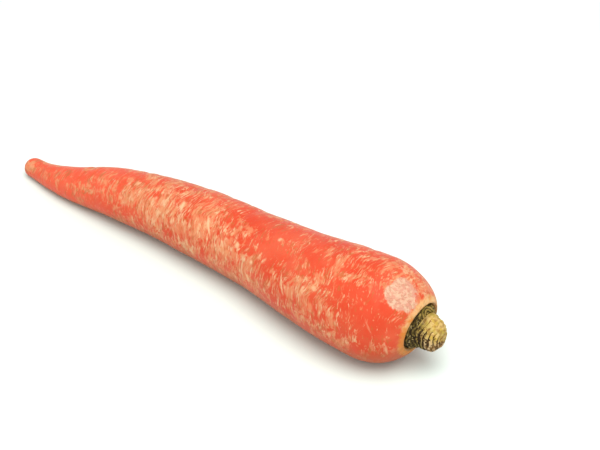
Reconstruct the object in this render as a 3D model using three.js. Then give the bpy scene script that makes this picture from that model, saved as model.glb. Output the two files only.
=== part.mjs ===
// A topped carrot lying on its side on a flat surface: the red-orange taproot, the dark collar of
// old leaf bases in the dip of its crown, and the ringed stub of the cut stem.
// Millimetres, +Z up. +X runs along the root from its tip to its crown, and the root lies on z = 0.
import * as THREE from "three";

// Driving dimensions of the root.
const ROOT_LENGTH = 239;
const SHOULDER_RADIUS = 22.5;
const TIP_RADIUS = 4.8;
const SHOULDER_ROUNDING = 20;
const SHOULDER_POWER = 1.32;
const CROWN_RADIUS = 10.4;
const SOCKET_DEPTH = 3.2;
const SOCKET_LIP = 0.8;

// Radius as a share of SHOULDER_RADIUS, at shares of the length from the tip.
const TAPER = [
  [0, TIP_RADIUS / SHOULDER_RADIUS],
  [0.06, 0.247],
  [0.13, 0.347],
  [0.25, 0.528],
  [0.38, 0.648],
  [0.5, 0.735],
  [0.62, 0.773],
  [0.75, 0.874],
  [0.88, 0.987],
  [1, 0.99],
];

// Sideways bow of the root's middle line, in millimetres, at shares of the length.
const BOW = [
  [0, 0.4],
  [0.12, -1.8],
  [0.26, 1.2],
  [0.45, 3],
  [0.62, 1.4],
  [0.8, -3.7],
  [0.9, -5],
  [1, -2.8],
];

// The root rests under its shoulder and near its tip: there it is pressed flat by REST_FLAT, and
// between the two spots its underside arches up.
const REST_FLAT = 0.5;
const REST_ARCH = 1;
const ARCH_SPAN = [0.14, 0.6];

// The crown sits a little off the middle line, and faces slightly down and to one side.
const CROWN_OFFSET = [0.6, 0.45, -0.95];
const CROWN_PITCH = THREE.MathUtils.degToRad(7.7);
const CROWN_YAW = THREE.MathUtils.degToRad(-0.9);

// Shallow cross creases round the root, and the low lumps of its skin as shares of its radius.
const CREASES = 34;
const CREASE_DEPTH = [0.15, 0.4];
const CREASE_HALF_ARC = [0.4, 1.2];
const CREASE_WIDTH = 2.2;
const CREASE_LEAN = 1.5;
const LUMPS = [
  { height: 0.013, turns: 2, start: 0.9, wave: 61 },
  { height: 0.009, turns: 3, start: 0, wave: -23 },
  { height: 0.007, turns: 1, start: 0, wave: 11 },
];

// The collar of leaf bases: tiers that step in and up to a shallow seat for the stub. They stand
// out further under the stub than above it, by COLLAR_LEAN each way.
const COLLAR_RADIUS = 10.1;
const COLLAR_TIERS = 4;
const FIRST_TIER = -0.2;
const TIER_RISE = 0.8;
const TIER_STEP = 0.6;
const COLLAR_LEAN = 0.8;
const COLLAR_TOP = FIRST_TIER + (COLLAR_TIERS - 1) * TIER_RISE;
const LEAF_BASES = 9;
const LEAF_CUT = 0.5;
const LEAF_NOTCH = 0.3;
const SEAT_RADIUS = 7.6;
const SEAT_DEPTH = 1.2;

// The stub of the stem, with the ridges that its leaves left. It sags a little.
const STUB_RADIUS = 7.2;
const STUB_LENGTH = 9.7;
const STUB_RIDGES = 7;
const STUB_TAPER = 0.24;
const STUB_SAG = 0.9;
const STUB_UNEVEN = 0.022;
const RIDGE_HEIGHT = 0.45;
const RIDGE_TILT = 0.16;

// The clearance between a piece and the one that it stands in.
const GAP = 0.3;

// How finely the surfaces are split.
const TIP_RINGS = 5;
const BODY_RINGS = 84;
const SHOULDER_RINGS = 10;
const ROOT_SIDES = 44;
const COLLAR_SIDES = 54;
const STUB_SIDES = 40;

// A repeatable random draw in [0, 1).
function randomDraw(seed) {
  let state = seed;
  return () => {
    state = (state * 1664525 + 1013904223) % 4294967296;
    return state / 4294967296;
  };
}

function between(range, share) {
  return THREE.MathUtils.lerp(range[0], range[1], share);
}

// A smooth curve through [share, value] points, as a function of the share.
function through(points) {
  const slope = (i) => {
    const before = points[Math.max(i - 1, 0)];
    const after = points[Math.min(i + 1, points.length - 1)];
    return (after[1] - before[1]) / (after[0] - before[0]);
  };
  return (share) => {
    const s = THREE.MathUtils.clamp(share, points[0][0], points.at(-1)[0]);
    const i = Math.min(points.findIndex((p) => p[0] >= s), points.length - 1);
    const a = Math.max(i - 1, 0);
    const b = a + 1;
    const width = points[b][0] - points[a][0];
    const t = (s - points[a][0]) / width;
    const rise = points[b][1] - points[a][1];
    const bend = (slope(a) * width - rise) * (1 - t) + (rise - slope(b) * width) * t;
    return points[a][1] + rise * t + t * (1 - t) * bend;
  };
}

const taper = through(TAPER);
const bow = through(BOW);

function rootRadius(along) {
  return SHOULDER_RADIUS * taper(along / ROOT_LENGTH);
}

// Height of the arch in the root's underside, 0 at both rest spots.
function arch(along) {
  const [from, to] = ARCH_SPAN;
  const t = THREE.MathUtils.clamp((along / ROOT_LENGTH - from) / (to - from), 0, 1);
  return REST_ARCH * Math.sin(Math.PI * t) ** 2;
}

// The root's middle line: its lowest side follows the surface that it lies on.
function middle(along) {
  const height = rootRadius(along) - REST_FLAT + arch(along);
  return new THREE.Vector3(along - ROOT_LENGTH / 2, bow(along / ROOT_LENGTH), height);
}

function direction(along) {
  const step = 2;
  return middle(along + step).sub(middle(along - step)).normalize();
}

// The crown's own frame, with +X out of the crown. The collar and the stub stand in it.
const crown = new THREE.Group();
crown.position.copy(middle(ROOT_LENGTH)).add(new THREE.Vector3(...CROWN_OFFSET));
crown.rotation.set(0, CROWN_PITCH, CROWN_YAW, "ZYX");
const crownForward = new THREE.Vector3(1, 0, 0).applyEuler(crown.rotation);

// The cross creases: where each lies along and round the root, how far it reaches, how deep it is.
function makeCreases() {
  const draw = randomDraw(7);
  return Array.from({ length: CREASES }, (_, i) => ({
    along: ROOT_LENGTH * (0.07 + 0.84 * ((i + draw()) / CREASES)),
    angle: 2 * Math.PI * draw(),
    halfArc: between(CREASE_HALF_ARC, draw()),
    depth: between(CREASE_DEPTH, draw()),
    lean: between([-CREASE_LEAN, CREASE_LEAN], draw()),
  }));
}

const creases = makeCreases();

// Signed angle from one direction round the root to another, in (-pi, pi].
function turn(from, to) {
  return Math.atan2(Math.sin(to - from), Math.cos(to - from));
}

// How far the root's skin stands out at a place. It fades out under the root, where it rests.
function relief(along, angle, radius) {
  let height = 0;
  for (const lump of LUMPS) {
    height += radius * lump.height * Math.sin(lump.turns * angle + lump.start + along / lump.wave);
  }
  for (const crease of creases) {
    const off = turn(crease.angle, angle) / crease.halfArc;
    if (Math.abs(off) < 1) {
      const line = crease.along + crease.lean * off;
      const near = Math.exp(-(((along - line) / CREASE_WIDTH) ** 2));
      height -= crease.depth * near * (1 - off * off);
    }
  }
  const under = THREE.MathUtils.smoothstep(Math.abs(turn(-Math.PI / 2, angle)), 0.25, 0.9);
  return height * under;
}

// Rings of the root's outside, from the tip over the shoulder to the lip of the crown's socket, and
// down the socket to its floor. Each holds its place, radius, share of the crown's shift and relief.
function rootRings() {
  const rings = [];
  for (let i = 1; i < TIP_RINGS; i++) {
    const t = (Math.PI / 2) * (i / TIP_RINGS);
    const along = TIP_RADIUS * (1 - Math.cos(t));
    rings.push({ along, radius: rootRadius(along) * Math.sin(t), shift: 0, rough: 0.4 });
  }
  const shoulder = ROOT_LENGTH - SHOULDER_ROUNDING;
  for (let i = 0; i <= BODY_RINGS; i++) {
    const along = TIP_RADIUS + (shoulder - TIP_RADIUS) * (i / BODY_RINGS);
    rings.push({ along, radius: rootRadius(along), shift: 0, rough: 1 });
  }
  const rim = CROWN_RADIUS + SOCKET_LIP;
  for (let i = 1; i <= SHOULDER_RINGS; i++) {
    const t = (Math.PI / 2) * (i / SHOULDER_RINGS);
    const along = shoulder + SHOULDER_ROUNDING * Math.sin(t);
    const share = Math.cos(t) ** SHOULDER_POWER;
    const radius = rim + (rootRadius(along) - rim) * share;
    rings.push({ along, radius, shift: 1 - Math.cos(t), rough: share });
  }
  const lip = ROOT_LENGTH - SOCKET_LIP;
  const floor = ROOT_LENGTH - SOCKET_DEPTH;
  rings.push({ along: lip, radius: CROWN_RADIUS, shift: 1, rough: 0 });
  rings.push({ along: floor, radius: CROWN_RADIUS - 0.2, shift: 1, rough: 0 });
  rings.push({ along: floor, radius: CROWN_RADIUS / 2, shift: 1, rough: 0 });
  return rings;
}

// Closes a stack of rings into one surface, with a point at each end.
function closedSurface(rings, first, last) {
  const sides = rings[0].length;
  const positions = [first, ...rings.flat(), last].flatMap((p) => [p.x, p.y, p.z]);
  const index = [];
  const at = (ring, side) => 1 + ring * sides + (side % sides);
  const end = 1 + rings.length * sides;
  for (let side = 0; side < sides; side++) {
    index.push(0, at(0, side + 1), at(0, side));
    for (let ring = 0; ring + 1 < rings.length; ring++) {
      const [a, b] = [at(ring, side), at(ring, side + 1)];
      const [c, d] = [at(ring + 1, side), at(ring + 1, side + 1)];
      index.push(a, b, d, a, d, c);
    }
    index.push(end, at(rings.length - 1, side), at(rings.length - 1, side + 1));
  }
  const geometry = new THREE.BufferGeometry();
  geometry.setAttribute("position", new THREE.Float32BufferAttribute(positions, 3));
  geometry.setIndex(index);
  geometry.computeVertexNormals();
  return geometry;
}

// A place on the root's own line, which turns into the crown's line by the ring's shift.
function ringCentre(ring) {
  const inCrown = crown.position.clone().addScaledVector(crownForward, ring.along - ROOT_LENGTH);
  return middle(ring.along).lerp(inCrown, ring.shift);
}

// A point at an angle round the root's middle line. Angle 0 is level and towards +Y.
function rootPoint(ring, angle) {
  const forward = direction(ring.along).lerp(crownForward, ring.shift).normalize();
  const side = new THREE.Vector3(0, 0, 1).cross(forward).normalize();
  const up = forward.clone().cross(side);
  const radius = ring.radius + relief(ring.along, angle, ring.radius) * ring.rough;
  const point = ringCentre(ring)
    .addScaledVector(side, radius * Math.cos(angle))
    .addScaledVector(up, radius * Math.sin(angle));
  point.z = Math.max(point.z, 0);
  return point;
}

function makeTaproot() {
  const rings = rootRings().map((ring) =>
    Array.from({ length: ROOT_SIDES }, (_, i) => rootPoint(ring, (2 * Math.PI * i) / ROOT_SIDES)),
  );
  const socketFloor = ringCentre({ along: ROOT_LENGTH - SOCKET_DEPTH, shift: 1 });
  return closedSurface(rings, middle(0), socketFloor);
}

// A solid turned about +X from [height, radius] steps, which shape() may move at each angle.
function turned(steps, sides, shape) {
  const ringAt = ([height, radius], step) =>
    Array.from({ length: sides }, (_, i) => {
      const angle = (2 * Math.PI * i) / sides;
      const [h, r] = shape(height, radius, angle, step);
      return new THREE.Vector3(h, r * Math.cos(angle), r * Math.sin(angle));
    });
  const rings = steps.map(ringAt);
  const start = new THREE.Vector3(steps[0][0], 0, 0);
  const finish = new THREE.Vector3(steps.at(-1)[0], 0, 0);
  return closedSurface(rings, start, finish);
}

// The collar stands in the socket. Each tier is a round of leaf bases, cut off ragged and set half
// a leaf base round from the one below.
function makeCollar() {
  const bottom = GAP - SOCKET_DEPTH;
  const steps = [
    [bottom, COLLAR_RADIUS / 2],
    [bottom, COLLAR_RADIUS],
  ];
  const tierOf = [-1, -1];
  const bottomSteps = steps.length;
  for (let tier = 0; tier < COLLAR_TIERS; tier++) {
    const radius = COLLAR_RADIUS - tier * TIER_STEP;
    const top = FIRST_TIER + tier * TIER_RISE;
    const foot = tier === 0 ? -SOCKET_LIP : top - TIER_RISE * 0.8;
    steps.push([foot, radius], [top, radius - 0.1], [top, radius - TIER_STEP + 0.2]);
    tierOf.push(-1, tier, tier);
  }
  const seat = COLLAR_TOP - SEAT_DEPTH;
  steps.push([seat, SEAT_RADIUS], [seat, SEAT_RADIUS / 2]);
  tierOf.push(-1, -1);
  const seatSteps = 2;
  const shape = (height, radius, angle, step) => {
    if (step < bottomSteps || step >= tierOf.length - seatSteps) return [height, radius];
    const leaning = height - COLLAR_LEAN * Math.sin(angle);
    const tier = tierOf[step];
    if (tier < 0) return [leaning, radius];
    const leaf = Math.abs(Math.sin((LEAF_BASES * angle) / 2 + tier * Math.PI * 0.5));
    return [leaning + LEAF_CUT * (leaf - 0.5), radius - LEAF_NOTCH * (1 - leaf)];
  };
  return turned(steps, COLLAR_SIDES, shape);
}

// The stub: ridges that narrow towards a blunt end, each uneven against the next.
function makeStub() {
  const base = COLLAR_TOP - SEAT_DEPTH + GAP;
  const seatWall = SEAT_RADIUS - GAP - 0.1;
  const steps = [
    [base, seatWall / 2],
    [base, seatWall],
    [base + SEAT_DEPTH, seatWall],
  ];
  const fixed = steps.length;
  const firstRidge = SEAT_DEPTH + 0.8;
  const ridged = STUB_LENGTH * 0.75;
  for (let ridge = 0; ridge < STUB_RIDGES; ridge++) {
    const t = ridge / (STUB_RIDGES - 1);
    const radius = STUB_RADIUS * (1 - STUB_TAPER * t * t);
    const height = base + THREE.MathUtils.lerp(firstRidge, ridged, t);
    const half = (ridged - firstRidge) / (STUB_RIDGES - 1) / 2;
    steps.push([height - half, radius - RIDGE_HEIGHT], [height, radius]);
  }
  const endRings = 5;
  const endRadius = STUB_RADIUS * (1 - STUB_TAPER) - RIDGE_HEIGHT;
  for (let i = 0; i < endRings; i++) {
    const t = (Math.PI / 2) * (i / endRings);
    const height = base + ridged + 0.5 + (STUB_LENGTH - ridged - 0.5) * Math.sin(t);
    steps.push([height, endRadius * Math.cos(t)]);
  }
  const shape = (height, radius, angle, step) => {
    if (step < fixed) return [height, radius];
    const wave = Math.sin(angle * 2 + step * 1.9) + 0.6 * Math.sin(angle * 3 - step);
    return [height + RIDGE_TILT * Math.sin(angle + step), radius * (1 + STUB_UNEVEN * wave)];
  };
  const stub = turned(steps, STUB_SIDES, shape);
  const position = stub.getAttribute("position");
  const free = base + SEAT_DEPTH;
  for (let i = 0; i < position.count; i++) {
    const t = Math.max((position.getX(i) - free) / (STUB_LENGTH - SEAT_DEPTH), 0);
    position.setZ(i, position.getZ(i) - STUB_SAG * t * t);
  }
  return stub;
}

function material(color, roughness) {
  return new THREE.MeshStandardMaterial({ color, roughness, metalness: 0 });
}

function piece(name, geometry, skin) {
  const mesh = new THREE.Mesh(geometry, skin);
  mesh.name = name;
  return mesh;
}

const taproot = piece("taproot", makeTaproot(), material(0xf0694a, 0.45));
const collar = piece("leaf_base_collar", makeCollar(), material(0x6f5f2c, 0.8));
const stub = piece("stem_stub", makeStub(), material(0xc2a150, 0.75));
crown.add(collar, stub);

const carrot = new THREE.Group();
carrot.add(taproot, crown);

// The part's origin is the middle of its box, at the bottom.
carrot.updateMatrixWorld(true);
const box = new THREE.Box3().setFromObject(carrot, true);
const centre = box.getCenter(new THREE.Vector3());
carrot.position.set(-centre.x, -centre.y, -box.min.z);

export default carrot;
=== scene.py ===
import math
import random

import bpy
import numpy as np
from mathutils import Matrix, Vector, noise


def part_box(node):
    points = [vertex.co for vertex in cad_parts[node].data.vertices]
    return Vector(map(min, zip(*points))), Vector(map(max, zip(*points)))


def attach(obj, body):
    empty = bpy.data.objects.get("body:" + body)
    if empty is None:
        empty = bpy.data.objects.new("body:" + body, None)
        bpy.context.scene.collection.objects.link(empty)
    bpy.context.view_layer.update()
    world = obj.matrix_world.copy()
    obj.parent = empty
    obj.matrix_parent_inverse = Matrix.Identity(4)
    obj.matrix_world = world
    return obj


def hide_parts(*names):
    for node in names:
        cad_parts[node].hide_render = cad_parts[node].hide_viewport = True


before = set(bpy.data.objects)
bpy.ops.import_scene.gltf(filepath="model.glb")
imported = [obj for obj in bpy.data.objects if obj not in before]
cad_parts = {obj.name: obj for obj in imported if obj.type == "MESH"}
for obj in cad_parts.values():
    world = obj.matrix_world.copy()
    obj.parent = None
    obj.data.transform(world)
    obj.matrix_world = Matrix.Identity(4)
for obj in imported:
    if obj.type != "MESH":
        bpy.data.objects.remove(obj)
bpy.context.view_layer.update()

# The topped carrot on its side. Lengths here are in millimetres, and a mesh is scaled to metres
# when it is made. +X runs along the root from its tip to its crown.
MM = 0.001

# The root's driving sizes, as in the CAD model. TAPER gives its radius as a share of the shoulder's,
# and BOW its middle line's shift towards +Y, both by share of its length.
ROOT_LENGTH = 239.0
SHOULDER_RADIUS = 22.5
TIP_RADIUS = 4.8
SHOULDER_ROUNDING = 20.0
SHOULDER_POWER = 1.32
CROWN_RADIUS = 10.4
SOCKET_DEPTH = 3.2
SOCKET_LIP = 0.8
SOCKET_TAPER = 0.2
TAPER = [
    (0, TIP_RADIUS / SHOULDER_RADIUS),
    (0.06, 0.247),
    (0.13, 0.347),
    (0.25, 0.528),
    (0.38, 0.648),
    (0.5, 0.735),
    (0.62, 0.773),
    (0.75, 0.874),
    (0.88, 0.987),
    (1, 0.99),
]
BOW = [(0, 0.4), (0.12, -1.8), (0.26, 1.2), (0.45, 3), (0.62, 1.4), (0.8, -3.7), (0.9, -5), (1, -2.8)]
REST_FLAT = 0.5
REST_ARCH = 1.0
ARCH_SPAN = (0.14, 0.6)
CROWN_OFFSET = (0.6, 0.45, -0.95)
CROWN_PITCH = math.radians(7.7)
CROWN_YAW = math.radians(-0.9)

# The low relief that the CAD model has too: cross creases, and lumps by their share of the radius,
# their number round the root, where they start and how far they wind on along it.
CREASES = 34
CREASE_SEED = 7
CREASE_DEPTH = (0.15, 0.4)
CREASE_HALF_ARC = (0.4, 1.2)
CREASE_WIDTH = 2.2
CREASE_LEAN = 1.5
LUMPS = [(0.013, 2, 0.9, 61), (0.009, 3, 0, -23), (0.007, 1, 0, 11)]

# Relief is weaker on the round tip, and ends between two angles from straight down, in radians.
TIP_RELIEF = 0.4
UNDER_END = (0.25, 0.9)

# How finely the visible root is split. Its last rings make the crown's socket.
ROOT_SIDES = 200
TIP_RINGS = 12
BODY_RINGS = 390
SHOULDER_RINGS = 56
SOCKET_RINGS = 3


def lcg(seed):
    """A repeatable draw in [0, 1), the same one that the CAD model uses."""
    state = seed
    while True:
        state = (state * 1664525 + 1013904223) % 4294967296
        yield state / 4294967296


def through(points):
    """A smooth curve through (share, value) points, as a function of an array of shares."""
    x = np.array([p[0] for p in points], float)
    y = np.array([p[1] for p in points], float)
    last = len(x) - 1
    before = np.maximum(np.arange(len(x)) - 1, 0)
    after = np.minimum(np.arange(len(x)) + 1, last)
    slope = (y[after] - y[before]) / (x[after] - x[before])

    def value(share):
        s = np.clip(share, x[0], x[-1])
        b = np.clip(np.searchsorted(x, s), 1, last)
        a = b - 1
        width = x[b] - x[a]
        t = (s - x[a]) / width
        rise = y[b] - y[a]
        bend = (slope[a] * width - rise) * (1 - t) + (rise - slope[b] * width) * t
        return y[a] + rise * t + t * (1 - t) * bend

    return value


def smoothstep(value, low, high):
    """A smooth rise from 0 to 1 while the value goes from low to high."""
    t = np.clip((value - low) / (high - low), 0, 1)
    return t * t * (3 - 2 * t)


def noise_at(points, sizes, seed):
    """Smooth noise of about -1 to 1 at points in millimetres, with cells of the given sizes."""
    cells = points.reshape(-1, 3) / np.array(sizes, float) + seed
    return np.array([noise.noise(Vector(p)) for p in cells.tolist()]).reshape(points.shape[:-1])


taper = through(TAPER)
bow = through(BOW)


def root_radius(along):
    return SHOULDER_RADIUS * taper(along / ROOT_LENGTH)


def middle(along):
    """The root's middle line: its lowest side follows the surface that it lies on."""
    share = along / ROOT_LENGTH
    t = np.clip((share - ARCH_SPAN[0]) / (ARCH_SPAN[1] - ARCH_SPAN[0]), 0, 1)
    height = root_radius(along) - REST_FLAT + REST_ARCH * np.sin(np.pi * t) ** 2
    return np.stack([along - ROOT_LENGTH / 2, bow(share), height], -1)


def unit(vectors):
    return vectors / np.linalg.norm(vectors, axis=-1, keepdims=True)


CROWN_CENTRE = middle(np.array([ROOT_LENGTH]))[0] + np.array(CROWN_OFFSET)
CROWN_FORWARD = np.array([
    math.cos(CROWN_PITCH) * math.cos(CROWN_YAW),
    math.cos(CROWN_PITCH) * math.sin(CROWN_YAW),
    -math.sin(CROWN_PITCH),
])


def make_creases():
    draw = lcg(CREASE_SEED)
    creases = []
    for i in range(CREASES):
        creases.append({
            "along": ROOT_LENGTH * (0.07 + 0.84 * ((i + next(draw)) / CREASES)),
            "angle": 2 * math.pi * next(draw),
            "half_arc": CREASE_HALF_ARC[0] + (CREASE_HALF_ARC[1] - CREASE_HALF_ARC[0]) * next(draw),
            "depth": CREASE_DEPTH[0] + (CREASE_DEPTH[1] - CREASE_DEPTH[0]) * next(draw),
            "lean": CREASE_LEAN * (2 * next(draw) - 1),
            "width": CREASE_WIDTH,
        })
    return creases


def turn(start, angle):
    """Signed angle from start to angle, between -pi and pi."""
    return np.arctan2(np.sin(angle - start), np.cos(angle - start))


def crease_depth(crease, along, angle):
    """How deep a crease or groove is at each point: it runs round the root and leans along it."""
    off = turn(crease["angle"], angle) / crease["half_arc"]
    line = crease["along"] + crease["lean"] * off
    near = np.exp(-(((along - line) / crease["width"]) ** 2))
    return crease["depth"] * near * np.clip(1 - off * off, 0, 1)


def low_relief(along, angle, radius):
    """The height of the lumps less the depth of the creases."""
    height = 0
    for share, turns, start, wave in LUMPS:
        height = height + radius * share * np.sin(turns * angle + start + along / wave)
    for crease in make_creases():
        height = height - crease_depth(crease, along, angle)
    return height


# Marks of the skin, by distance from the tip in millimetres and angle round the root in degrees,
# where 0 is level towards +Y and 90 is on top. The tip's own look ends between two distances. The
# halo and the rim lie round the crown's socket, and end between two distances from its edge. The
# painted shade of the low side, a deeper red, begins and is full at two shares of straight down.
SCAB = {"along": 233.2, "angle": 110, "reach": 7.5}
TIP_END = (40, 110)
HALO_END = (1.2, 5.5)
HALO_PALE_ANGLE = 95
RIM_END = (0.3, 1.9)
PAINTED_SHADE_SIDE = (0.05, 0.8)
FINE_GROOVES = 230
GROOVE_SEED = 11


def fine_relief(along, angle, points):
    """Small grooves and unevenness of the visible skin."""
    draw = random.Random(GROOVE_SEED)
    height = np.zeros_like(along)
    for _ in range(FINE_GROOVES):
        groove = {
            "along": draw.uniform(6, ROOT_LENGTH - 6),
            "angle": draw.uniform(0, 2 * math.pi),
            "half_arc": draw.uniform(0.08, 0.4),
            "depth": draw.uniform(0.05, 0.2),
            "lean": draw.uniform(-1, 1),
            "width": draw.uniform(0.5, 0.9),
        }
        height = height - crease_depth(groove, along, angle)
    rough = 0.16 * noise_at(points, (9, 13, 13), 0) + 0.1 * noise_at(points, (2.4, 7, 7), 0)
    return height + rough


def root_rings():
    """Each ring's place along the root, radius, share of the crown's frame and share of relief."""
    tip = np.arange(1, TIP_RINGS) * (math.pi / 2 / TIP_RINGS)
    tip_along = TIP_RADIUS * (1 - np.cos(tip))
    body_along = np.linspace(TIP_RADIUS, ROOT_LENGTH - SHOULDER_ROUNDING, BODY_RINGS + 1)
    round_over = np.arange(1, SHOULDER_RINGS + 1) * (math.pi / 2 / SHOULDER_RINGS)
    top_along = ROOT_LENGTH - SHOULDER_ROUNDING + SHOULDER_ROUNDING * np.sin(round_over)
    blend = np.cos(round_over)
    share = blend ** SHOULDER_POWER
    rim = CROWN_RADIUS + SOCKET_LIP
    top_radius = rim + (root_radius(top_along) - rim) * share
    lip = ROOT_LENGTH - SOCKET_LIP
    floor = ROOT_LENGTH - SOCKET_DEPTH
    along = np.concatenate([tip_along, body_along, top_along, [lip, floor, floor]])
    radius = np.concatenate([
        root_radius(tip_along) * np.sin(tip),
        root_radius(body_along),
        top_radius,
        [CROWN_RADIUS, CROWN_RADIUS - SOCKET_TAPER, CROWN_RADIUS / 2],
    ])
    zeros = np.zeros(len(tip) + len(body_along))
    shift = np.concatenate([zeros, 1 - blend, [1, 1, 1]])
    tip_rough = np.full(len(tip), TIP_RELIEF)
    rough = np.concatenate([tip_rough, np.ones(len(body_along)), share, [0, 0, 0]])
    return along, radius, shift, rough


def root_frames(along, shift):
    """Centre, sideways and upward directions of the rings."""
    step = 2.0
    direction = unit(middle(along + step) - middle(along - step))
    in_crown = CROWN_CENTRE + CROWN_FORWARD * (along - ROOT_LENGTH)[:, None]
    part = shift[:, None]
    centre = middle(along) * (1 - part) + in_crown * part
    forward = unit(direction * (1 - part) + CROWN_FORWARD * part)
    side = unit(np.cross([0, 0, 1.0], forward))
    return centre, side, np.cross(forward, side)


def ring_angles(count, sides):
    """The angle of every point in a stack of rings."""
    return np.tile(np.arange(sides) * (2 * math.pi / sides), (count, 1))


def spread(values, sides):
    """A value for each ring, given to all the points of the ring."""
    return np.repeat(values[:, None], sides, axis=1)


def circles(centre, side, up, radius, angle):
    """Points round each centre, at the given radii and angles."""
    around = np.cos(angle)[..., None] * side[:, None] + np.sin(angle)[..., None] * up[:, None]
    return centre[:, None] + radius[..., None] * around


def place_rings(centre, side, up, radius, angle):
    """The root's rings, level where they would go below the surface that it lies on."""
    points = circles(centre, side, up, radius, angle)
    points[..., 2] = np.maximum(points[..., 2], 0)
    return points


def ring_faces(count, sides):
    """Faces of a stack of rings, with a first point before it and a last point after it."""
    column = np.arange(sides)
    after = (column + 1) % sides
    start = 1 + np.arange(count - 1)[:, None] * sides
    above = start + sides
    quads = np.stack([start + column, start + after, above + after, above + column], -1)
    top = 1 + (count - 1) * sides
    end = top + sides
    faces = quads.reshape(-1, 4).tolist()
    faces += [(0, 1 + int(b), 1 + int(a)) for a, b in zip(column, after)]
    faces += [(end, top + int(a), top + int(b)) for a, b in zip(column, after)]
    return faces


def make_piece(name, points, faces):
    """A smooth piece from points in millimetres."""
    mesh = bpy.data.meshes.new(name)
    mesh.from_pydata((points * MM).tolist(), [], faces)
    mesh.update()
    mesh.shade_smooth()
    piece = bpy.data.objects.new(name, mesh)
    bpy.context.scene.collection.objects.link(piece)
    return piece


def closed_points(rings, first, last):
    """A stack of rings as one list of points, with a first point before and a last one after it."""
    return np.concatenate([[first], rings.reshape(-1, 3), [last]])


def closed_values(values):
    """The rings' values, with the two end points' values from the rings beside them."""
    return np.concatenate([[values[0, 0]], values.reshape(-1), [values[-1, 0]]])


def add_attribute(piece, name, values):
    """A number at each point, for the material to read."""
    layer = piece.data.attributes.new(name, "FLOAT", "POINT")
    layer.data.foreach_set("value", values.astype(np.float32))


def frame_shift(points):
    """The way from the root's own line to the CAD model, whose origin is the middle of its box."""
    low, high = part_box("taproot")
    cad_middle = (np.array(low) + np.array(high)) / 2 / MM
    own_low = points.reshape(-1, 3).min(0)
    own_high = points.reshape(-1, 3).max(0)
    shift = cad_middle - (own_low + own_high) / 2
    shift[2] = 0
    return shift


# Paler stretches of the skin, where the cross streaks lie thick, and clear ones, where they are few:
# middle along the root and angle, reach along and round it, and strength from 0 to 1.
STREAK_DENSITY = 0.42
PALE_GAIN = 0.55
CLEAR_LOSS = 0.5
PALE_STRETCHES = [
    (18, 130, 26, 60, 0.5),
    (74, 150, 12, 30, 0.35),
    (62, 160, 10, 40, 0.3),
    (94, 140, 15, 60, 0.85),
    (118, 165, 20, 60, 0.8),
    (138, 150, 16, 45, 0.7),
    (160, 178, 18, 30, 0.6),
    (196, 158, 10, 26, 0.9),
    (213, 178, 9, 22, 0.8),
    (208, 104, 10, 18, 0.6),
    (222, 84, 8, 20, 0.3),
    (233, 88, 5, 40, 0.4),
    (237, 72, 7, 28, 0.7),
    (60, -40, 26, 60, 0.8),
    (120, -60, 30, 50, 0.6),
    (150, 20, 24, 45, 0.8),
    (200, -30, 22, 50, 0.7),
    (90, 40, 20, 40, 0.7),
]
CLEAR_STRETCHES = [
    (36, -172, 30, 26, 0.9),
    (160, 95, 18, 22, 0.8),
    (174, 128, 12, 22, 0.8),
    (197, 108, 12, 24, 0.6),
    (226, 150, 13, 30, 1.0),
    (228, -150, 12, 35, 0.5),
    (180, -100, 30, 40, 0.6),
]


def stretch(patch, along, angle):
    """A stretch's strength at each point, which fades out round its middle."""
    middle_along, middle_angle, reach, arc, strength = patch
    a = (along - middle_along) / reach
    b = np.degrees(turn(math.radians(middle_angle), angle)) / arc
    return strength * np.exp(-(a * a + b * b))


def streak_density(along, angle):
    """How thick the cross streaks lie at each point, from 0 to 1."""
    density = np.full_like(along, STREAK_DENSITY)
    for patch in PALE_STRETCHES:
        density = density + PALE_GAIN * stretch(patch, along, angle)
    for patch in CLEAR_STRETCHES:
        density = density - CLEAR_LOSS * stretch(patch, along, angle)
    return np.clip(density, 0, 1)


# Single pale flecks: place along, angle, length round the root, width along it, lean, strength.
FLECKS = [
    (113.6, 127, 3.2, 1.0, 0.6, 1.0),
    (132.1, 137, 4.4, 0.8, 3.2, 1.0),
    (152.9, 143, 1.5, 1.5, 0, 0.85),
    (158.8, 167, 5.0, 0.7, -0.6, 0.8),
    (164.5, 154, 1.2, 1.2, 0, 0.9),
    (168.1, 141, 2.2, 0.6, -0.8, 0.8),
    (171.6, 144, 1.8, 0.6, -1.0, 0.7),
    (172.5, 110, 1.2, 1.0, 0, 0.8),
    (185.0, 158, 5.0, 0.6, 2.0, 0.85),
    (202.2, 146, 1.3, 1.4, 0, 0.7),
    (226.5, 162, 3.6, 0.45, 2.0, 0.3),
    (234.0, -166, 3.2, 0.6, 0.2, 0.6),
]


def fleck_field(along, angle, radius):
    """The share of the single flecks at each point."""
    field = np.zeros_like(along)
    for place, degrees, length, width, lean, strength in FLECKS:
        round_by = turn(math.radians(degrees), angle) * radius
        off = along - place - lean * round_by / length
        distance = np.sqrt((off / width) ** 2 + (round_by / length) ** 2)
        field = np.maximum(field, strength * (1 - smoothstep(distance, 0.45, 1.1)))
    return field


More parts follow.
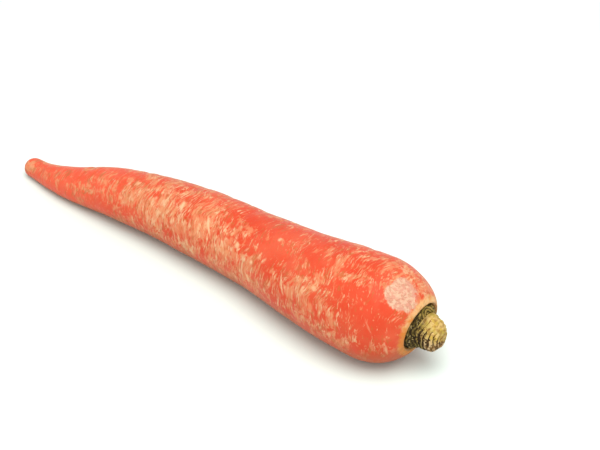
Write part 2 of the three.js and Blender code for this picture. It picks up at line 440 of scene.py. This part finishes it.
def scab_shape(along, angle, radius, points):
    """The scab's share at each point, from 0 to 1, and the share of its raised rim."""
    # The rounded shoulder is longer over its surface than along the root's line.
    top = points[:, ROOT_SIDES // 4]
    over = np.concatenate([[0], np.cumsum(np.linalg.norm(np.diff(top, axis=0), axis=1))])
    middle_over = np.interp(SCAB["along"], along[:-SOCKET_RINGS], over[:-SOCKET_RINGS])
    forward = over[:, None] - middle_over
    sideways = turn(math.radians(SCAB["angle"]), angle) * radius
    bearing = np.arctan2(sideways, forward)
    wobble = 1 + 0.09 * np.sin(3 * bearing + 1) + 0.05 * np.sin(5 * bearing)
    distance = np.sqrt(forward ** 2 + sideways ** 2) / (SCAB["reach"] * wobble)
    # The scab ends in a clear edge towards the tip and fades out towards the crown.
    fading = smoothstep(forward - sideways, 0, 1.2 * SCAB["reach"])
    scab = 1 - smoothstep(distance, 0.78 - 0.4 * fading, 1.12 + 0.25 * fading)
    return scab, np.exp(-((distance - 1.0) / 0.09) ** 2)


def make_root():
    along, radius, shift, rough = root_rings()
    centre, side, up = root_frames(along, shift)
    angle = ring_angles(len(along), ROOT_SIDES)
    wide_along = spread(along, ROOT_SIDES)
    wide_radius = spread(radius, ROOT_SIDES)
    under = smoothstep(np.abs(turn(-math.pi / 2, angle)), *UNDER_END)
    relief = low_relief(wide_along, angle, wide_radius) * under * rough[:, None]
    smooth = place_rings(centre, side, up, wide_radius + relief, angle)
    shift_by = frame_shift(smooth)
    fine = fine_relief(wide_along, angle, smooth) * under * rough[:, None]
    scab, scab_rim = scab_shape(along, angle, wide_radius, smooth)
    fine = fine - 0.18 * scab + 0.1 * scab_rim * rough[:, None]
    points = place_rings(centre, side, up, wide_radius + relief + fine, angle) + shift_by
    first = middle(np.array([0.0]))[0] + shift_by
    floor = CROWN_CENTRE - CROWN_FORWARD * SOCKET_DEPTH + shift_by
    faces = ring_faces(len(along), ROOT_SIDES)
    piece = make_piece("root_skin", closed_points(points, first, floor), faces)
    from_edge = np.linalg.norm(points - (CROWN_CENTRE + shift_by), axis=-1) - CROWN_RADIUS
    values = {
        "pale": streak_density(wide_along, angle),
        "tip_end": 1 - smoothstep(wide_along, *TIP_END),
        # How far each point faces down, for the painted shade of the underside.
        "painted_shade_side": smoothstep(-np.sin(angle), *PAINTED_SHADE_SIDE),
        "fleck": fleck_field(wide_along, angle, wide_radius),
        "scab": scab,
        "halo": 1 - smoothstep(from_edge, *HALO_END),
        "halo_top": 0.5 + 0.5 * np.cos(angle - math.radians(HALO_PALE_ANGLE)),
        "rim": 1 - smoothstep(from_edge, *RIM_END),
    }
    for name, value in values.items():
        add_attribute(piece, name, closed_values(value))
    return piece, shift_by


# The collar of old leaf bases and the stub of the stem, in the crown's own frame: x out of the
# crown, with angle 0 towards +Y and 90 degrees on top. A profile is a list of heights out of the
# crown and radii, from the hidden underside over the visible side to the middle. Relief begins, and
# on the collar ends, between two distances along the profile.
COLLAR_SIDES = 420
COLLAR_RINGS = 110
COLLAR_PROFILE = [
    (-2.9, 5.6),
    (-2.9, 10.0),
    (-0.9, 10.15),
    (-0.1, 9.9),
    (0.6, 9.4),
    (1.4, 8.8),
    (2.2, 8.2),
    (2.6, 7.6),
    (1.4, 7.3),
    (1.1, 4.0),
]
COLLAR_RELIEF_START = (5.4, 6.4)
COLLAR_RELIEF_END = (11.2, 11.9)
COLLAR_SHADE_END = (6.4, 7.6)
COLLAR_LEAN = 0.8
COLLAR_LIT_ANGLE = 72
STUB_SIDES = 320
STUB_RINGS = 190
STUB_PROFILE = [
    (1.3, 4.0),
    (1.3, 7.2),
    (2.2, 7.9),
    (3.4, 7.6),
    (5.0, 7.15),
    (6.8, 6.9),
    (8.4, 6.3),
    (9.5, 5.4),
    (10.3, 4.2),
    (10.75, 2.8),
    (10.9, 1.4),
    (10.95, 0.25),
]
STUB_RELIEF_START = (3.4, 4.4)
STUB_LENGTH = 9.7
STUB_RIDGE = 1.7
STUB_FINE_RIDGE = 0.62
STUB_FREE = 2.45
STUB_SAG = 0.9
# The side where the stub is palest: partly its own colour, partly painted light.
STUB_PALE_AND_PAINTED_LIGHT_ANGLE = 64


def crown_frame(shift_by):
    """The crown's centre and its three directions."""
    side = np.array([-math.sin(CROWN_YAW), math.cos(CROWN_YAW), 0])
    up = np.cross(CROWN_FORWARD, side)
    return CROWN_CENTRE + shift_by, CROWN_FORWARD, side, up


def profile_rings(profile, count):
    """Evenly spaced heights and radii along a profile, with the distance along it."""
    corners = np.array(profile, float)
    lengths = np.concatenate([[0], np.cumsum(np.linalg.norm(np.diff(corners, axis=0), axis=1))])
    distance = np.linspace(0, lengths[-1], count)
    height = np.interp(distance, lengths, corners[:, 0])
    radius = np.interp(distance, lengths, corners[:, 1])
    kernel = np.hanning(7)
    kernel /= kernel.sum()
    padded = [np.pad(v, 3, mode="edge") for v in (height, radius)]
    return np.convolve(padded[0], kernel, "valid"), np.convolve(padded[1], kernel, "valid"), distance


def turned_rings(height, radius, raised):
    """Rings of a turned shape, moved out along its normal by the raised amounts."""
    slope_h = np.gradient(height)
    slope_r = np.gradient(radius)
    size = np.hypot(slope_h, slope_r)
    out_h = (-slope_r / size)[:, None]
    out_r = (slope_h / size)[:, None]
    h = height[:, None] + out_h * raised
    r = np.maximum(radius[:, None] + out_r * raised, 0.05)
    angle = ring_angles(*raised.shape)
    return np.stack([h, r * np.cos(angle), r * np.sin(angle)], -1)


def to_world(points, shift_by):
    """Points of the crown's frame, where the part has them."""
    centre, forward, side, up = crown_frame(shift_by)
    return centre + points[..., 0:1] * forward + points[..., 1:2] * side + points[..., 2:3] * up


# The collar's leaf bases: rows of crescents, and over them the sheaths of old leaves, each with nested
# arches that open towards the stub. A sheath has its angle in degrees, the place of its arches' middle
# along the collar's profile, its reach, its arches' spacing and its strength.
LEAF_BASES = 9
LEAF_ROW = 1.7
SHEATHS = [
    (352, 10.0, 3.0, 1.3, 0.6),
    (308, 11.2, 4.0, 1.6, 0.7),
    (268, 10.0, 2.8, 1.2, 0.5),
    (236, 11.4, 4.2, 1.5, 0.7),
    (190, 10.0, 3.0, 1.2, 0.5),
    (158, 11.3, 4.2, 1.7, 0.7),
    (126, 10.2, 2.8, 1.3, 0.5),
    (34, 10.8, 3.8, 1.5, 0.7),
    (80, 10.9, 4.8, 1.6, 1.0),
]
FIBRES = 34
FIBRE_SEED = 23
FIBRE_SIDES = 5
FIBRE_STEPS = 7


def collar_relief(distance, angle, points):
    """How far the leaf bases stand out, from 0 in a groove to 1 on a ridge."""
    wander = 1.5 * noise_at(points, (3.0, 2.4, 2.4), 1.0)
    wander = wander + 0.5 * noise_at(points, (1.0, 1.0, 1.0), 6.0)
    row = distance / LEAF_ROW + 0.5 * wander
    number = np.floor(row)
    part = row - number
    edge = 0.25 + 0.4 * np.abs(np.sin(LEAF_BASES / 2 * angle + number * math.pi / 2))
    ridge = smoothstep(part / edge, 0.1, 1.0) * (1 - smoothstep(part, edge, edge + 0.3))
    around = np.hypot(points[..., 1], points[..., 2])
    for degrees, place, reach, spacing, strength in SHEATHS:
        across = turn(math.radians(degrees), angle) * around
        outward = np.maximum(place - distance, 0)
        off = np.hypot(across * 0.95, outward) + 0.5 * wander
        arch = 0.5 - 0.5 * np.cos(2 * math.pi * (off - 0.6 * spacing) / spacing)
        inside = strength * (1 - smoothstep(off, reach - 0.4, reach))
        ridge = ridge * (1 - inside) + arch * inside
    beads = 0.85 + 0.4 * noise_at(points, (1.2, 1.2, 1.2), 8.0)
    return np.clip(ridge * beads, 0, 1)


def make_collar(shift_by):
    height, radius, distance = profile_rings(COLLAR_PROFILE, COLLAR_RINGS)
    angle = ring_angles(COLLAR_RINGS, COLLAR_SIDES)
    flat = turned_rings(height, radius, np.zeros_like(angle))
    ridge = collar_relief(distance[:, None], angle, flat)
    raised = 0.5 * ridge + 0.25 * noise_at(flat, (2.6, 1.8, 1.8), 3.0) - 0.35
    ended = smoothstep(distance, *COLLAR_RELIEF_END)
    seen = (smoothstep(distance, *COLLAR_RELIEF_START) * (1 - ended))[:, None]
    rings = turned_rings(height, radius, raised * seen)
    rings[..., 0] -= COLLAR_LEAN * np.sin(angle) * seen
    points = closed_points(rings, (height[0], 0, 0), (height[-1], 0, 0))
    faces = ring_faces(COLLAR_RINGS, COLLAR_SIDES)
    ridges = closed_values(ridge * seen)
    fibre = np.zeros(len(points))
    draw = random.Random(FIBRE_SEED)
    for _ in range(FIBRES):
        strand, strand_faces = make_fibre(draw, height, radius, distance)
        faces += [[index + len(points) for index in face] for face in strand_faces]
        points = np.concatenate([points, strand])
        ridges = np.concatenate([ridges, np.ones(len(strand))])
        fibre = np.concatenate([fibre, np.ones(len(strand))])
    piece = make_piece("leaf_base_collar_skin", to_world(points, shift_by), faces)
    add_attribute(piece, "ridge", ridges)
    add_attribute(piece, "fibre", fibre)
    # Painted shade: the collar is darker in the hollow by the rim and on the side turned away from the
    # light.
    hollow = spread(1 - smoothstep(distance, *COLLAR_SHADE_END), COLLAR_SIDES)
    painted_shade_side = smoothstep(np.abs(turn(math.radians(COLLAR_LIT_ANGLE), angle)), 0.5, 1.15)
    shaded = closed_values(np.maximum(hollow * (0.35 + 0.65 * painted_shade_side), 0.72 * painted_shade_side))
    add_attribute(piece, "shaded", np.concatenate([shaded, np.zeros(len(points) - len(shaded))]))
    return piece


def make_fibre(draw, height, radius, distance):
    """A dry fibre that lies on the collar and leaves it a little at its end."""
    start = draw.uniform(6.9, 9.9)
    run = draw.uniform(-0.5, 0.9)
    first_angle = math.radians(draw.uniform(120, 400))
    sweep = draw.uniform(0.05, 0.16)
    thick = draw.uniform(0.1, 0.17)
    lift = draw.uniform(0.0, 0.15)
    t = np.linspace(0, 1, FIBRE_STEPS)
    along = start + run * t
    h = np.interp(along, distance, height)
    r = np.interp(along, distance, radius) + 0.1 + lift * t * t
    a = first_angle + sweep * t
    h = h + 0.3 * lift * t - COLLAR_LEAN * np.sin(a)
    line = np.stack([h, r * np.cos(a), r * np.sin(a)], -1)
    return tube(line, thick * (1 - 0.75 * t * t))


def tube(line, radii):
    """A closed tube round a line."""
    forward = unit(np.gradient(line, axis=0))
    side = unit(np.cross(forward, [0.31, 0.17, 0.93]))
    up = np.cross(forward, side)
    angle = ring_angles(len(line), FIBRE_SIDES)
    rings = circles(line, side, up, spread(radii, FIBRE_SIDES), angle)
    return closed_points(rings, line[0], line[-1]), ring_faces(len(line), FIBRE_SIDES)


def make_stub(shift_by):
    height, radius, distance = profile_rings(STUB_PROFILE, STUB_RINGS)
    angle = ring_angles(STUB_RINGS, STUB_SIDES)
    flat = turned_rings(height, radius, np.zeros_like(angle))
    wander = noise_at(flat, (7, 5, 5), 2.0)
    lean = 0.6 * np.sin(angle + 0.6) + 0.3 * np.sin(2 * angle + 2)
    ring = (distance[:, None] + lean + 1.3 * wander) / STUB_RIDGE
    number = np.floor(ring)
    wave = ring - number
    beads = noise_at(flat, (0.6, 0.8, 0.8), 4.0) + 0.8 * noise_at(flat, (1.5, 2.0, 2.0), 9.0)
    crest = smoothstep(wave, 0, 0.5) * (1 - smoothstep(wave, 0.7, 1.0))
    uneven = np.clip(0.85 + 0.35 * np.sin(number * 2.4 + angle * 1.5), 0.4, 1.2)
    fine_turns = (distance[:, None] + lean + 1.8 * wander) / STUB_FINE_RIDGE
    fine = 0.5 + 0.5 * np.sin(2 * math.pi * fine_turns)
    # Paler on one side: partly the stub's own colour, partly painted light, with painted shade on the
    # far side.
    pale = 0.5 + 0.5 * np.cos(angle - math.radians(STUB_PALE_AND_PAINTED_LIGHT_ANGLE))
    calm = 1 - 0.75 * smoothstep(pale, 0.35, 0.9)
    ridge = np.clip((0.7 * crest + 0.3 * fine) * (0.9 + 0.8 * beads), 0, 1)
    raised = (0.42 * crest * uneven + 0.16 * fine * calm + 0.12 * beads) * (0.45 + 0.55 * calm) - 0.3
    end = distance[-1]
    fading = 1 - 0.5 * smoothstep(distance, end - 1.4, end)
    seen = (smoothstep(distance, *STUB_RELIEF_START) * fading)[:, None]
    rings = turned_rings(height, radius, raised * seen)
    bend = np.clip((rings[..., 0] - STUB_FREE) / (STUB_LENGTH - 1.2), 0, None)
    rings[..., 2] -= STUB_SAG * bend * bend
    points = closed_points(rings, (height[0], 0, 0), rings[-1].mean(0))
    piece = make_piece("stem_stub_skin", to_world(points, shift_by), ring_faces(STUB_RINGS, STUB_SIDES))
    foot = 1 - smoothstep(distance[:, None] + 0.8 * wander, 8.4 - 4.4 * pale, 11.4 - 5.0 * pale)
    values = {
        "ridge": ridge * seen,
        "pale_and_painted_lit_side": pale,
        "foot": foot * (1 - 0.7 * pale * pale),
        "end": spread(smoothstep(distance, end - 4.6, end - 1.2), STUB_SIDES),
    }
    for name, value in values.items():
        add_attribute(piece, name, closed_values(value))
    return piece


# The places of the colour mix node's sockets, which share their names with its other sockets.
MIX_FIRST = 6
MIX_SECOND = 7
MIX_RESULT = 2


class Nodes:
    """A small way to write node materials: a call adds nodes and returns their last output."""

    def __init__(self, name):
        self.material = bpy.data.materials.new(name)
        self.material.use_nodes = True
        self.tree = self.material.node_tree
        self.tree.nodes.clear()

    def node(self, kind, **settings):
        made = self.tree.nodes.new(kind)
        for key, value in settings.items():
            setattr(made, key, value)
        return made

    def put(self, socket, value):
        if isinstance(value, bpy.types.NodeSocket):
            self.tree.links.new(value, socket)
        elif isinstance(value, tuple) and len(value) == 3 and len(socket.default_value) == 4:
            socket.default_value = (*value, 1)
        else:
            socket.default_value = value

    def attribute(self, name):
        return self.node("ShaderNodeAttribute", attribute_name=name).outputs["Fac"]

    def math(self, operation, a, b):
        made = self.node("ShaderNodeMath", operation=operation)
        self.put(made.inputs[0], a)
        self.put(made.inputs[1], b)
        return made.outputs[0]

    def add(self, a, b):
        return self.math("ADD", a, b)

    def times(self, a, b):
        return self.math("MULTIPLY", a, b)

    def object_coordinates(self):
        return self.node("ShaderNodeTexCoord").outputs["Object"]

    def scaled(self, vector, sizes, move=(0, 0, 0)):
        """Coordinates in which the pattern's cells are the given sizes in millimetres."""
        made = self.node("ShaderNodeMapping")
        self.put(made.inputs["Vector"], vector)
        made.inputs["Location"].default_value = move
        made.inputs["Scale"].default_value = [1 / (size * MM) for size in sizes]
        return made.outputs[0]

    def turned(self, vector, degrees):
        """Coordinates turned about the vertical."""
        made = self.node("ShaderNodeMapping")
        self.put(made.inputs["Vector"], vector)
        made.inputs["Rotation"].default_value = (0, 0, math.radians(degrees))
        return made.outputs[0]

    def noise(self, vector, detail=2.0, roughness=0.5, output="Fac"):
        made = self.node("ShaderNodeTexNoise")
        self.put(made.inputs["Vector"], vector)
        made.inputs["Scale"].default_value = 1
        made.inputs["Detail"].default_value = detail
        made.inputs["Roughness"].default_value = roughness
        return made.outputs[output]

    def noise_colour(self, vector):
        return self.noise(vector, 1.0, output="Color")

    def cells(self, vector, feature="F1"):
        made = self.node("ShaderNodeTexVoronoi", feature=feature)
        self.put(made.inputs["Vector"], vector)
        made.inputs["Scale"].default_value = 1
        return made.outputs["Distance"]

    def step(self, value, low, high, to_low=0.0, to_high=1.0):
        """A smooth rise from one number to another while the value goes from low to high."""
        made = self.node("ShaderNodeMapRange", interpolation_type="SMOOTHSTEP")
        self.put(made.inputs["Value"], value)
        self.put(made.inputs["From Min"], low)
        self.put(made.inputs["From Max"], high)
        self.put(made.inputs["To Min"], to_low)
        self.put(made.inputs["To Max"], to_high)
        return made.outputs["Result"]

    def blend(self, share, a, b):
        """The first colour, or the second one where the share is 1."""
        made = self.node("ShaderNodeMix", data_type="RGBA")
        self.put(made.inputs["Factor"], share)
        self.put(made.inputs[MIX_FIRST], a)
        self.put(made.inputs[MIX_SECOND], b)
        return made.outputs[MIX_RESULT]

    def moved(self, vector, by, amount):
        """The vector, moved by a noise colour less its middle, times an amount in metres."""
        centred = self.node("ShaderNodeVectorMath", operation="SUBTRACT")
        self.put(centred.inputs[0], by)
        centred.inputs[1].default_value = (0.5, 0.5, 0.5)
        scaled = self.node("ShaderNodeVectorMath", operation="SCALE")
        self.put(scaled.inputs[0], centred.outputs[0])
        scaled.inputs["Scale"].default_value = amount
        total = self.node("ShaderNodeVectorMath", operation="ADD")
        self.put(total.inputs[0], vector)
        self.put(total.inputs[1], scaled.outputs[0])
        return total.outputs[0]

    def finish(self, colour, roughness, height=None, relief=0.0, **shader):
        """The material, with a bump of so many millimetres where it has a height."""
        surface = self.node("ShaderNodeBsdfPrincipled")
        self.put(surface.inputs["Base Color"], colour)
        self.put(surface.inputs["Roughness"], roughness)
        for key, value in shader.items():
            surface.inputs[key.replace("_", " ")].default_value = value
        if height is not None:
            bump = self.node("ShaderNodeBump")
            bump.inputs["Strength"].default_value = 1
            bump.inputs["Distance"].default_value = relief * MM
            self.put(bump.inputs["Height"], height)
            self.put(surface.inputs["Normal"], bump.outputs[0])
        output = self.node("ShaderNodeOutputMaterial")
        self.put(output.inputs["Surface"], surface.outputs[0])
        return self.material


# Colours of the skin, as linear red, green and blue.
RED = (0.57, 0.062, 0.024)
DEEP_RED = (0.5, 0.038, 0.011)
WARM_RED = (0.59, 0.095, 0.042)
TIP_RED = (0.7, 0.095, 0.042)
STREAK = (0.6, 0.24, 0.11)
PALE_STREAK = (0.65, 0.38, 0.21)
STREAK_EDGE = (0.4, 0.105, 0.028)
# Painted shade of the underside.
PAINTED_SHADE_RED = (0.36, 0.075, 0.02)
SCAB_PINK = (0.55, 0.265, 0.18)
SCAB_CREAM = (0.6, 0.38, 0.255)
SCAB_NET = (0.42, 0.18, 0.1)
HALO = (0.56, 0.2, 0.03)
HALO_PALE = (0.65, 0.4, 0.17)
RIM_TAN = (0.34, 0.17, 0.045)


def red_skin(n, place, tip_end):
    """The red below the marks: three slow tones, and a lighter one at the tip."""
    haze = n.step(n.noise(n.scaled(place, (12, 10, 10)), 3.0), 0.42, 0.64)
    depth = n.step(n.noise(n.scaled(place, (20, 15, 15), (3, 1, 7))), 0.42, 0.62)
    colour = n.blend(n.times(haze, 0.7), RED, WARM_RED)
    colour = n.blend(n.times(depth, 0.4), colour, DEEP_RED)
    return n.blend(n.times(tip_end, 0.6), colour, TIP_RED)


def add_halo(n, warped, tint, colour):
    """The colour with the tan halo round the crown and its darker rim at the socket."""
    ragged = n.noise(n.scaled(warped, (0.8, 1.2, 1.2)), 3.0)
    halo = n.step(n.add(n.attribute("halo"), n.times(ragged, 1.1)), 0.72, 1.35)
    paler = n.step(n.add(tint, n.attribute("halo_top")), 1.15, 1.45)
    colour = n.blend(n.times(halo, 0.85), colour, n.blend(paler, HALO, HALO_PALE))
    line = n.step(n.noise(n.scaled(warped, (0.5, 2.5, 2.5), (8, 3, 6))), 0.54, 0.64)
    colour = n.blend(n.times(n.times(line, halo), 0.45), colour, RIM_TAN)
    rim = n.step(n.add(n.attribute("rim"), n.times(ragged, 1.2)), 0.9, 1.4)
    return n.blend(n.times(rim, 0.7), colour, RIM_TAN)


def add_scab(n, place, colour):
    """The pale scab. Returns the colour with it, its own share and that of its net of fine lines."""
    ragged = n.noise(n.scaled(place, (1.2, 1.2, 1.2), (6, 2, 1)), 3.0)
    scab = n.step(n.add(n.attribute("scab"), n.times(ragged, 1.1)), 0.75, 1.25)
    bent = n.moved(place, n.noise_colour(n.scaled(place, (0.7, 0.7, 0.7))), 1.1 * MM)
    net = n.cells(n.scaled(n.turned(bent, -38), (2.6, 1.2, 1.2)), "DISTANCE_TO_EDGE")
    line = n.step(net, 0.2, 0.03)
    cream = n.step(n.noise(n.scaled(place, (2.0, 2.0, 2.0)), 3.0), 0.42, 0.6)
    patch = n.step(n.noise(n.scaled(place, (1.6, 1.6, 1.6), (5, 0, 3))), 0.44, 0.6)
    scab_colour = n.blend(cream, SCAB_PINK, SCAB_CREAM)
    scab_colour = n.blend(n.times(n.times(line, patch), 0.7), scab_colour, SCAB_NET)
    return n.blend(n.times(scab, 0.95), colour, scab_colour), scab, n.times(line, scab)


def skin_material():
    n = Nodes("carrot_skin")
    place = n.object_coordinates()
    warped = n.moved(place, n.noise_colour(n.scaled(place, (17, 13, 13))), 9 * MM)
    warped = n.moved(warped, n.noise_colour(n.scaled(place, (2.2, 2.2, 2.2))), 0.7 * MM)
    drift = n.add(n.noise(n.scaled(warped, (9, 7, 7), (2, 9, 4))), -0.5)
    tip_end = n.attribute("tip_end")
    pale = n.add(n.attribute("pale"), n.times(drift, n.add(1.7, n.times(tip_end, 1.8))))

    def streaks(blotch, line, share, low, spread_by, soft, move):
        """Cross streaks in blotches, by the cells of both and the lines' share of the pattern.

        They begin at the low level, lowered where the skin is pale, and have a soft edge.
        """
        wide = n.noise(n.scaled(warped, blotch, move), 3.0, 0.6)
        thin = n.noise(n.scaled(warped, line, move), 2.0, 0.6)
        field = n.add(n.times(wide, 1 - share), n.times(thin, share))
        edge = n.add(low, n.times(pale, -spread_by))
        return n.step(field, edge, n.add(edge, soft))

    film = streaks((5.0, 6.0, 6.0), (1.4, 3.6, 3.6), 0.4, 0.56, 0.13, 0.11, (0, 0, 0))
    fine = streaks((2.8, 4.0, 4.0), (0.9, 3.6, 3.6), 0.55, 0.575, 0.11, 0.12, (11, 5, 2))
    hair = streaks((5.0, 9.0, 9.0), (0.6, 5.0, 5.0), 0.72, 0.61, 0.1, 0.1, (4, 7, 9))
    shade = streaks((2.6, 3.5, 3.5), (0.8, 3.5, 3.5), 0.5, 0.565, 0.06, 0.07, (1, 8, 3))
    tint = n.noise(n.scaled(place, (2.4, 3.5, 3.5), (2, 2, 2)))
    streak_colour = n.blend(n.step(tint, 0.42, 0.62), STREAK, PALE_STREAK)
    colour = red_skin(n, place, tip_end)
    colour = n.blend(n.times(film, n.add(0.6, n.times(tip_end, 0.2))), colour, STREAK)
    colour = n.blend(n.times(shade, 0.65), colour, STREAK_EDGE)
    line_share = n.add(1.0, n.times(tip_end, -0.6))
    colour = n.blend(n.times(n.times(fine, line_share), 0.85), colour, streak_colour)
    colour = n.blend(n.times(n.times(hair, line_share), 0.7), colour, streak_colour)
    pores = n.step(n.cells(n.scaled(place, (3.4, 3.4, 3.4))), 0.15, 0.1)
    colour = n.blend(n.times(pores, 0.5), colour, STREAK)
    # Painted shade: the underside is darkened towards a deeper red.
    painted_shade_side = n.step(n.add(n.attribute("painted_shade_side"), n.times(drift, 0.9)), 0.0, 1.0)
    colour = n.blend(n.times(painted_shade_side, 0.75), colour, PAINTED_SHADE_RED)
    fleck = n.attribute("fleck")
    colour = n.blend(fleck, colour, PALE_STREAK)
    colour = add_halo(n, warped, tint, colour)
    colour, scab, net = add_scab(n, place, colour)
    raised = n.math("MAXIMUM", n.math("MAXIMUM", fine, hair), fleck)
    grain = n.noise(n.scaled(place, (0.5, 1.6, 1.6), (5, 5, 5)), 3.0, 0.6)
    height = n.add(n.times(raised, 0.45), n.times(grain, 0.6))
    height = n.add(height, n.times(net, -0.5))
    roughness = n.step(n.math("MAXIMUM", raised, scab), 0, 1, 0.36, 0.54)
    return n.finish(
        colour, roughness, height, 0.16,
        Subsurface_Weight=0.1, Subsurface_Scale=0.002, Specular_IOR_Level=0.1,
    )


# Colours of the collar and the stub, as linear red, green and blue.
COLLAR_DARK = (0.018, 0.009, 0.0015)
COLLAR_OLIVE = (0.07, 0.048, 0.008)
COLLAR_RIDGE = (0.17, 0.12, 0.02)
COLLAR_TAN = (0.3, 0.2, 0.05)
FIBRE_PALE = (0.36, 0.27, 0.12)
STUB_CREAM = (0.53, 0.36, 0.125)
STUB_YELLOW = (0.45, 0.29, 0.05)
STUB_GREEN = (0.32, 0.27, 0.05)
STUB_OCHRE = (0.24, 0.11, 0.02)
STUB_PINK = (0.5, 0.34, 0.19)
STUB_GROOVE = (0.035, 0.016, 0.003)
STUB_AMBER = (0.2, 0.085, 0.014)


def collar_material():
    n = Nodes("old_leaf_bases")
    place = n.object_coordinates()
    patch = n.step(n.noise(n.scaled(place, (2.2, 2.2, 2.2)), 3.0), 0.4, 0.62)
    grain = n.noise(n.scaled(place, (0.5, 0.9, 0.9), (4, 1, 2)), 3.0, 0.65)
    colour = n.blend(patch, COLLAR_DARK, COLLAR_OLIVE)
    shaded = n.attribute("shaded")
    narrow = n.times(shaded, 0.3)
    lines = n.add(n.attribute("ridge"), n.times(n.add(grain, -0.5), 0.7))
    crest = n.step(lines, n.add(0.04, narrow), n.add(0.45, narrow))
    bright = n.step(n.add(patch, n.times(grain, 0.8)), 0.5, 1.3)
    colour = n.blend(crest, colour, n.blend(bright, COLLAR_RIDGE, COLLAR_TAN))
    colour = n.blend(n.times(shaded, 0.8), colour, COLLAR_DARK)
    colour = n.blend(n.attribute("fibre"), colour, FIBRE_PALE)
    return n.finish(colour, 0.72, grain, 0.14, Specular_IOR_Level=0.15)


def stub_material():
    n = Nodes("cut_stem")
    place = n.object_coordinates()
    # Paler crests and lighter grooves on one side are partly the stub's own colour and partly painted
    # light. The other side's dark grooves are painted shade.
    pale_and_painted_lit_side = n.attribute("pale_and_painted_lit_side")
    ridge = n.attribute("ridge")
    patch = n.noise(n.scaled(place, (2.6, 2.0, 2.0), (3, 6, 1)), 3.0)
    grain = n.noise(n.scaled(place, (0.35, 1.1, 1.1), (7, 1, 4)), 3.0, 0.65)
    crest_colour = n.blend(n.step(patch, 0.4, 0.6), STUB_CREAM, STUB_YELLOW)
    green = n.step(n.noise(n.scaled(place, (3, 3, 3), (1, 5, 2))), 0.5, 0.65)
    crest_colour = n.blend(n.times(n.times(green, pale_and_painted_lit_side), 0.5), crest_colour, STUB_GREEN)
    low_colour = n.blend(n.step(pale_and_painted_lit_side, 0.6, 1.0), STUB_GROOVE, STUB_OCHRE)
    lines = n.add(ridge, n.times(n.add(grain, -0.5), 1.2))
    edge = n.step(pale_and_painted_lit_side, 0.3, 0.9, 0.46, -0.1)
    shown = n.step(lines, edge, n.add(edge, 0.35))
    colour = n.blend(shown, low_colour, crest_colour)
    colour = n.blend(n.times(n.step(pale_and_painted_lit_side, 0.6, 0.2), shown), colour, STUB_PINK)
    ochre = n.step(n.noise(n.scaled(place, (2.5, 2.5, 2.5), (9, 5, 7))), 0.5, 0.62)
    colour = n.blend(n.times(ochre, 0.55), colour, STUB_OCHRE)
    amber = n.times(n.attribute("end"), n.step(patch, 0.35, 0.6))
    colour = n.blend(n.times(amber, 0.65), colour, STUB_AMBER)
    foot_crest = n.blend(pale_and_painted_lit_side, COLLAR_RIDGE, COLLAR_TAN)
    foot_shown = n.step(lines, n.step(pale_and_painted_lit_side, 0.3, 0.9, 0.55, 0.3), 0.95)
    foot_colour = n.blend(foot_shown, COLLAR_DARK, foot_crest)
    colour = n.blend(n.attribute("foot"), colour, foot_colour)
    return n.finish(colour, 0.68, grain, 0.12, Specular_IOR_Level=0.15)


# The studio: a pale floor with two close tones, an even white surrounding, a broad light overhead
# and a weak one in front. A light has its place and width in metres and its power in watts.
FLOOR_SIZE = 6.0
FLOOR_TONES = ((0.69, 0.77, 0.715), (0.71, 0.79, 0.735))
FLOOR_PATCH = 400
WORLD_STRENGTH = 0.87
LIGHTS = [
    ("overhead", (0.34, -0.26, 1.06), 0.95, 12.4),
    ("front", (0.3, -1.2, 0.5), 1.0, 2.5),
]


def make_floor():
    bpy.ops.mesh.primitive_plane_add(size=FLOOR_SIZE, location=(0, 0, 0))
    floor = bpy.context.object
    floor.name = "floor"
    n = Nodes("pale_floor")
    patches = n.noise(n.scaled(n.object_coordinates(), (FLOOR_PATCH, FLOOR_PATCH, FLOOR_PATCH)))
    floor.data.materials.append(n.finish(n.blend(patches, *FLOOR_TONES), 0.6))


def make_light(name, place, size, power):
    """A round light that shines towards the part."""
    data = bpy.data.lights.new(name, "AREA")
    data.shape = "DISK"
    data.size = size
    data.energy = power
    light = bpy.data.objects.new(name, data)
    bpy.context.scene.collection.objects.link(light)
    light.location = place
    light.rotation_euler = (-Vector(place)).to_track_quat("-Z", "Y").to_euler()


def make_world(strength):
    world = bpy.data.worlds.new("studio")
    world.use_nodes = True
    background = world.node_tree.nodes["Background"]
    background.inputs["Color"].default_value = (1, 1, 1, 1)
    background.inputs["Strength"].default_value = strength
    bpy.context.scene.world = world


# The camera stands where the photograph was taken from: round from the root's side, and above it.
# Its angles are in degrees, and its distance and target in millimetres, from the root's own line.
CAMERA_AZIMUTH = 38.8
CAMERA_ELEVATION = 34.0
CAMERA_DISTANCE = 635.0
CAMERA_WIDE = 24.0
CAMERA_TARGET = np.array([35.04, 25.36, 20.0])


def make_camera(shift_by):
    a = math.radians(CAMERA_AZIMUTH)
    e = math.radians(CAMERA_ELEVATION)
    back = np.array([math.sin(a) * math.cos(e), -math.cos(a) * math.cos(e), math.sin(e)])
    place = (CAMERA_TARGET + shift_by + CAMERA_DISTANCE * back) * MM
    data = bpy.data.cameras.new("camera")
    data.sensor_fit = "HORIZONTAL"
    data.lens_unit = "FOV"
    data.angle = math.radians(CAMERA_WIDE)
    camera = bpy.data.objects.new("camera", data)
    bpy.context.scene.collection.objects.link(camera)
    camera.location = place.tolist()
    camera.rotation_euler = Vector((-back).tolist()).to_track_quat("-Z", "Y").to_euler()
    bpy.context.scene.camera = camera


root, shift_by = make_root()
root.data.materials.append(skin_material())
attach(root, "root")
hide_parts("taproot")

collar = make_collar(shift_by)
collar.data.materials.append(collar_material())
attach(collar, "root")
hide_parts("leaf_base_collar")

stub = make_stub(shift_by)
stub.data.materials.append(stub_material())
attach(stub, "root")
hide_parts("stem_stub")

make_camera(shift_by)
make_floor()
make_world(WORLD_STRENGTH)
for light in LIGHTS:
    make_light(*light)
bpy.context.scene.view_settings.view_transform = "Standard"
